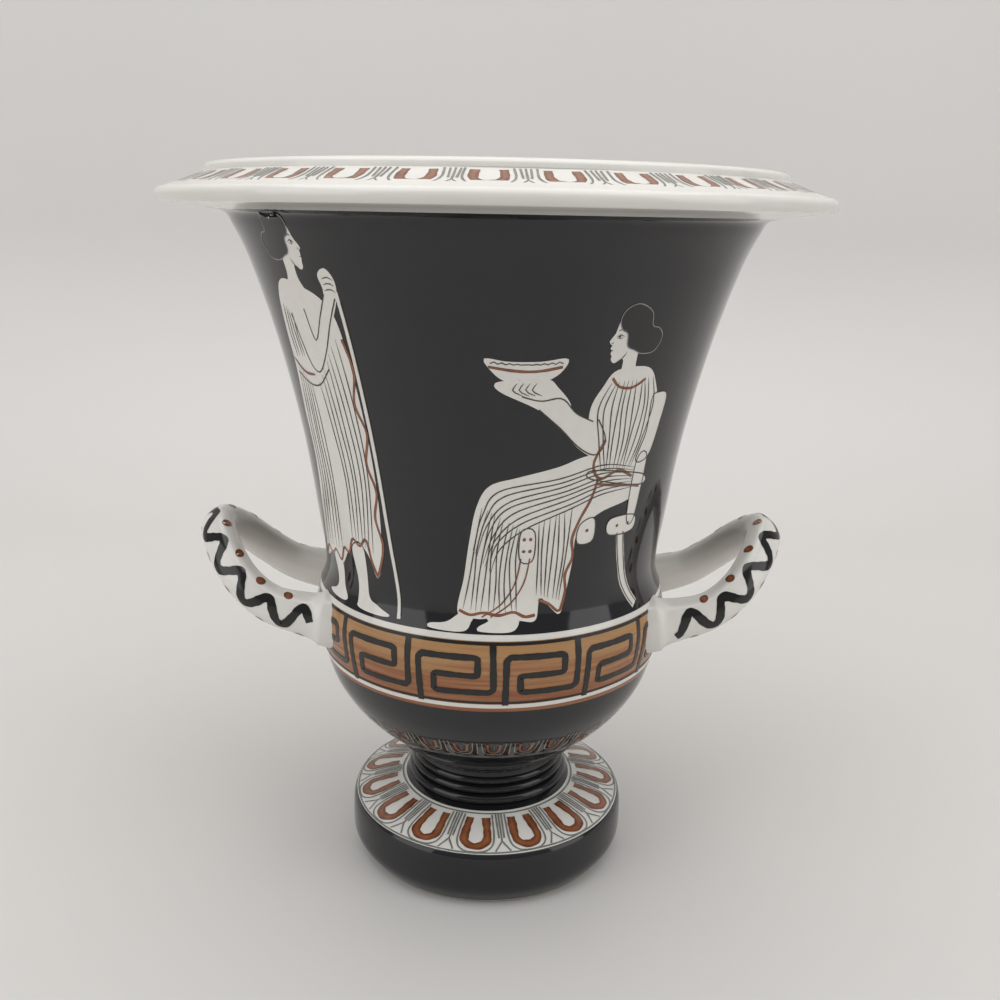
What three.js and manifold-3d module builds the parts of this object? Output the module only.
// Souvenir krater after a Greek model: one hollow body of glazed
// porcelain, turned on a wheel and joined to two upswept loop handles.
// Millimetres, +Z up, origin under the middle of the foot, handles along +X and -X.

import * as THREE from 'three';
import * as BufferGeometryUtils from 'three/addons/utils/BufferGeometryUtils.js';
import Module from 'manifold-3d';

// ---------------------------------------------------------------- driving dimensions

const HEIGHT = 250;              // table to the crest of the rim
const RIM_RADIUS = 111;          // widest point of the rolled lip
const LIP_ROLL = 2.3;            // radius of the rolled lip and of the crest
const CREST_RADIUS = 93.5;       // middle of the rounded crest, where the mouth begins
const LEDGE_DROP = 7.4;          // crest's middle down to the middle of the lip's roll
const NECK_RADIUS = 88;          // under the lip
const NECK_Z = 232.5;
const WAIST_RADIUS = 60.1;       // narrowest part of the flared wall
const WAIST_Z = 116.5;
const SHOULDER_RADIUS = 62.6;    // soft edge where the flared wall meets the bowl
const SHOULDER_Z = 106.6;
const BOWL_RADIUS = 63.6;        // fullest part of the bowl
const BOWL_Z = 97.5;
const BOWL_FOOT_RADIUS = 37.5;   // where the bowl meets the stem
const BOWL_FOOT_Z = 48.8;
const WALL = 5.2;                // thickness of the wall

const STEM_RADIUS = 27.6;        // hollow of the stem, its narrowest part
const STEM_Z = 40.2;
const STEM_BEADS = [             // round mouldings on the stem: radius of the ring, height, bead
  { ring: 28.6, z: 29.9, bead: 1.9 },
  { ring: 27.6, z: 33.4, bead: 1.7 },
  { ring: 27.0, z: 36.7, bead: 1.6 },
];
const COLLAR = { ring: 33.9, z: 46.6, bead: 1.7 };   // bead under the bowl

const FOOT_RADIUS = 52;          // widest part of the foot
const FOOT_SIDE_Z = 13;
const FOOT_BASE_RADIUS = 47;     // outer edge of the ring that stands on the table
const FOOT_TOP_RADIUS = 50.6;    // outer and inner edge of the foot's sloping top
const FOOT_TOP_Z = 21.5;
const FOOT_INNER_RADIUS = 31.6;
const FOOT_INNER_Z = 26.9;
const RECESS_RADIUS = 40;        // hollow under the foot
const RECESS_Z = 16.5;
const STEM_HOLLOW_RADIUS = 21;
const STEM_HOLLOW_Z = 43;
const FLOOR_Z = 52.5;            // inside, at the middle of the bowl

const HANDLE_HALF_SPAN = 24;     // from the handle's middle plane to the middle of an arm
const HANDLE_REACH = 99.5;       // middle of the handle's section at its outer end
const HANDLE_ROOT_Z = 97;
const HANDLE_TOP_Z = 125;
const HANDLE_HALF_THICK = 5.4;   // across the loop, inner face to outer face
const HANDLE_HALF_HEIGHT = 6.4;
const ROOT_FLARE = 0.38;         // how much the arms spread where they meet the bowl

const SIDES = 52;                // facets round the body
const HANDLE_STEPS = 24;
const FINEST_EDGE = 0.03;        // slivers left by the cuts are closed up below this
const CAVITY_OVERRUN = 10;       // how far the cutting forms run past the mouth and the foot

// ---------------------------------------------------------------- profile helpers

const v2 = (r, z) => new THREE.Vector2(r, z);

/** Points on a smooth line through a few given ones. */
function through(count, ...points) {
  return new THREE.SplineCurve(points).getPoints(count);
}

/** Points on an arc round (r, z), angles in degrees from outward, turning towards +Z. */
function arc(r, z, radius, from, to, count) {
  const clockwise = to < from;
  return new THREE.EllipseCurve(r, z, radius, radius, from * Math.PI / 180, to * Math.PI / 180, clockwise, 0)
    .getPoints(count);
}

/** A solid of revolution about +Z from a profile that starts and ends on the axis. */
function turned(profile) {
  const spaced = profile.filter((p, i) => i === 0 || p.distanceTo(profile[i - 1]) > 0.02);
  return new THREE.LatheGeometry(spaced, SIDES).rotateX(Math.PI / 2);
}

// ---------------------------------------------------------------- turned forms

/** The outside of the vessel, from the middle of the foot's underside to the mouth. */
function outerProfile() {
  const lipRing = RIM_RADIUS - LIP_ROLL;
  const crestZ = HEIGHT - LIP_ROLL;
  const lipZ = crestZ - LEDGE_DROP;
  return [
    v2(0, 0),
    v2(FOOT_BASE_RADIUS, 0),
    ...through(4, v2(FOOT_BASE_RADIUS + 0.8, 0.7), v2(FOOT_RADIUS - 0.5, 6.5), v2(FOOT_RADIUS, FOOT_SIDE_Z),
      v2(FOOT_RADIUS - 0.4, FOOT_TOP_Z - 2), v2(FOOT_TOP_RADIUS, FOOT_TOP_Z)),
    v2(FOOT_INNER_RADIUS, FOOT_INNER_Z),
    ...STEM_BEADS.flatMap(({ ring, z, bead }) => arc(ring, z, bead, -70, 70, 2)),
    v2(STEM_RADIUS, STEM_Z),
    v2(STEM_RADIUS + 2.2, STEM_Z + 3.2),
    ...arc(COLLAR.ring, COLLAR.z, COLLAR.bead, -80, 70, 2),
    ...through(8, v2(BOWL_FOOT_RADIUS, BOWL_FOOT_Z), v2(47.7, 57.7), v2(56.8, 70.3), v2(61.3, 83.3),
      v2(BOWL_RADIUS, BOWL_Z), v2(SHOULDER_RADIUS, SHOULDER_Z)),
    ...through(9, v2(SHOULDER_RADIUS - 0.2, SHOULDER_Z + 0.6), v2(WAIST_RADIUS, WAIST_Z), v2(62.2, 133.3),
      v2(67, 163.8), v2(74.5, 195.4), v2(82.6, 220.9), v2(NECK_RADIUS, NECK_Z)),
    v2(NECK_RADIUS + 2.2, NECK_Z + 3),
    ...arc(lipRing, lipZ, LIP_ROLL, -85, 80, 4),
    ...arc(CREST_RADIUS, crestZ, LIP_ROLL, 45, 90, 2),
    v2(0, HEIGHT),
  ];
}

/** The inside of the vessel, running on above the mouth. */
function cavityProfile() {
  const crestZ = HEIGHT - LIP_ROLL;
  return [
    v2(0, FLOOR_Z),
    ...through(6, v2(26, FLOOR_Z + 1.6), v2(42, 60.6), v2(51.4, 71.5), v2(61.3 - WALL, 84),
      v2(BOWL_RADIUS - WALL, BOWL_Z), v2(SHOULDER_RADIUS - WALL, SHOULDER_Z + 1)),
    ...through(7, v2(WAIST_RADIUS - WALL, WAIST_Z + 1), v2(57, 133.3), v2(67 - WALL, 164.5),
      v2(69.5, 196), v2(77.4, 220.9), v2(83.5, 232)),
    ...arc(CREST_RADIUS, crestZ, LIP_ROLL, 200, 90, 3),
    v2(CREST_RADIUS, HEIGHT + CAVITY_OVERRUN),
    v2(0, HEIGHT + CAVITY_OVERRUN),
  ];
}

/** The hollow under the foot and up into the stem. */
function recessProfile() {
  return [
    v2(0, -CAVITY_OVERRUN),
    v2(RECESS_RADIUS, -CAVITY_OVERRUN),
    v2(RECESS_RADIUS, 0),
    v2(RECESS_RADIUS + 1.2, RECESS_Z - 4),
    v2(RECESS_RADIUS - 1.5, RECESS_Z),
    v2(STEM_HOLLOW_RADIUS + 6, RECESS_Z + 3.5),
    v2(STEM_HOLLOW_RADIUS + 1.2, RECESS_Z + 8),
    v2(STEM_HOLLOW_RADIUS - 1, STEM_HOLLOW_Z - 6),
    v2(STEM_HOLLOW_RADIUS - 5, STEM_HOLLOW_Z - 1.5),
    v2(0, STEM_HOLLOW_Z),
  ];
}

// ---------------------------------------------------------------- handles

/** Middle line of one handle: a horseshoe that leaves the bowl and sweeps up as it goes out. */
function handlePath() {
  const halfLoop = [
    [WAIST_RADIUS - 12, 1.02, 0],
    [WAIST_RADIUS + 5, 1, 0.09],
    [WAIST_RADIUS + 17, 0.97, 0.21],
    [HANDLE_REACH - 12.5, 0.85, 0.47],
    [HANDLE_REACH - 4.5, 0.53, 0.8],
  ].map(([x, span, rise]) =>
    new THREE.Vector3(x, span * HANDLE_HALF_SPAN, HANDLE_ROOT_Z + rise * (HANDLE_TOP_Z - HANDLE_ROOT_Z)));
  const otherHalf = halfLoop.map((p) => new THREE.Vector3(p.x, -p.y, p.z)).reverse();
  return new THREE.CatmullRomCurve3(
    [...halfLoop, new THREE.Vector3(HANDLE_REACH, 0, HANDLE_TOP_Z), ...otherHalf], false, 'centripetal');
}

/** Section of an arm: round inside, with a soft ridge at the top of its outer face. */
function handleSection() {
  const t = HANDLE_HALF_THICK;
  const h = HANDLE_HALF_HEIGHT;
  const outline = new THREE.SplineCurve([
    v2(-t, 0), v2(-0.7 * t, -0.72 * h), v2(0, -h), v2(0.75 * t, -0.72 * h), v2(t, 0),
    v2(0.78 * t, 0.8 * h), v2(0, h), v2(-0.7 * t, 0.7 * h), v2(-t, 0),
  ]).getPoints(10).slice(0, -1);
  return new THREE.Shape(outline);
}

/** Lays a straight extrusion along the handle's path, its sides in the surface of the loop. */
function handleGeometry() {
  const path = handlePath();
  const geometry = new THREE.ExtrudeGeometry(handleSection(),
    { depth: 1, steps: HANDLE_STEPS, bevelEnabled: false });
  const position = geometry.attributes.position;
  const across = new THREE.Vector3();
  const up = new THREE.Vector3();
  for (let i = 0; i < position.count; i++) {
    const u = position.getZ(i);
    const centre = path.getPointAt(u);
    const along = path.getTangentAt(u);
    const edge = Math.abs(along.x) < 1e-6 ? path.getTangentAt(Math.max(0, u - 0.04)) : along;
    const slope = Math.abs(edge.z) / Math.max(Math.abs(edge.x), 0.2);
    up.set(-slope, 0, 1).normalize();
    across.crossVectors(up, along).normalize();
    up.crossVectors(along, across).normalize();
    const fromEnd = Math.min(u, 1 - u);
    const spread = 1 + ROOT_FLARE * Math.exp(-((fromEnd / 0.16) ** 2));
    centre
      .addScaledVector(across, position.getX(i) * spread)
      .addScaledVector(up, position.getY(i) * spread);
    position.setXYZ(i, centre.x, centre.y, centre.z);
  }
  return geometry;
}

// ---------------------------------------------------------------- joining

const wasm = await Module();
wasm.setup();

/** A closed solid from a three.js geometry. */
function solid(geometry) {
  const bare = geometry.clone();
  bare.deleteAttribute('normal');
  bare.deleteAttribute('uv');
  const merged = BufferGeometryUtils.mergeVertices(bare, 1e-4);
  return new wasm.Manifold(new wasm.Mesh({
    numProp: 3,
    vertProperties: new Float32Array(merged.attributes.position.array),
    triVerts: new Uint32Array(merged.index.array),
  }));
}

function toGeometry(manifold) {
  const mesh = manifold.getMesh();
  const geometry = new THREE.BufferGeometry();
  geometry.setAttribute('position', new THREE.BufferAttribute(mesh.vertProperties, 3));
  geometry.setIndex(new THREE.BufferAttribute(mesh.triVerts, 1));
  geometry.computeVertexNormals();
  return geometry;
}

function kraterGeometry() {
  const handle = handleGeometry();
  const opposite = handle.clone().rotateZ(Math.PI);
  const vessel = solid(turned(outerProfile()))
    .add(solid(handle))
    .add(solid(opposite))
    .subtract(solid(turned(cavityProfile())))
    .subtract(solid(turned(recessProfile())));
  return toGeometry(vessel.asOriginal().simplify(FINEST_EDGE));
}

// ---------------------------------------------------------------- scene graph

const blackGlaze = new THREE.MeshStandardMaterial({ color: 0x16171a, roughness: 0.12, metalness: 0 });

const group = new THREE.Group();
const krater = new THREE.Mesh(kraterGeometry(), blackGlaze);
krater.name = 'krater';
group.add(krater);

export default group;
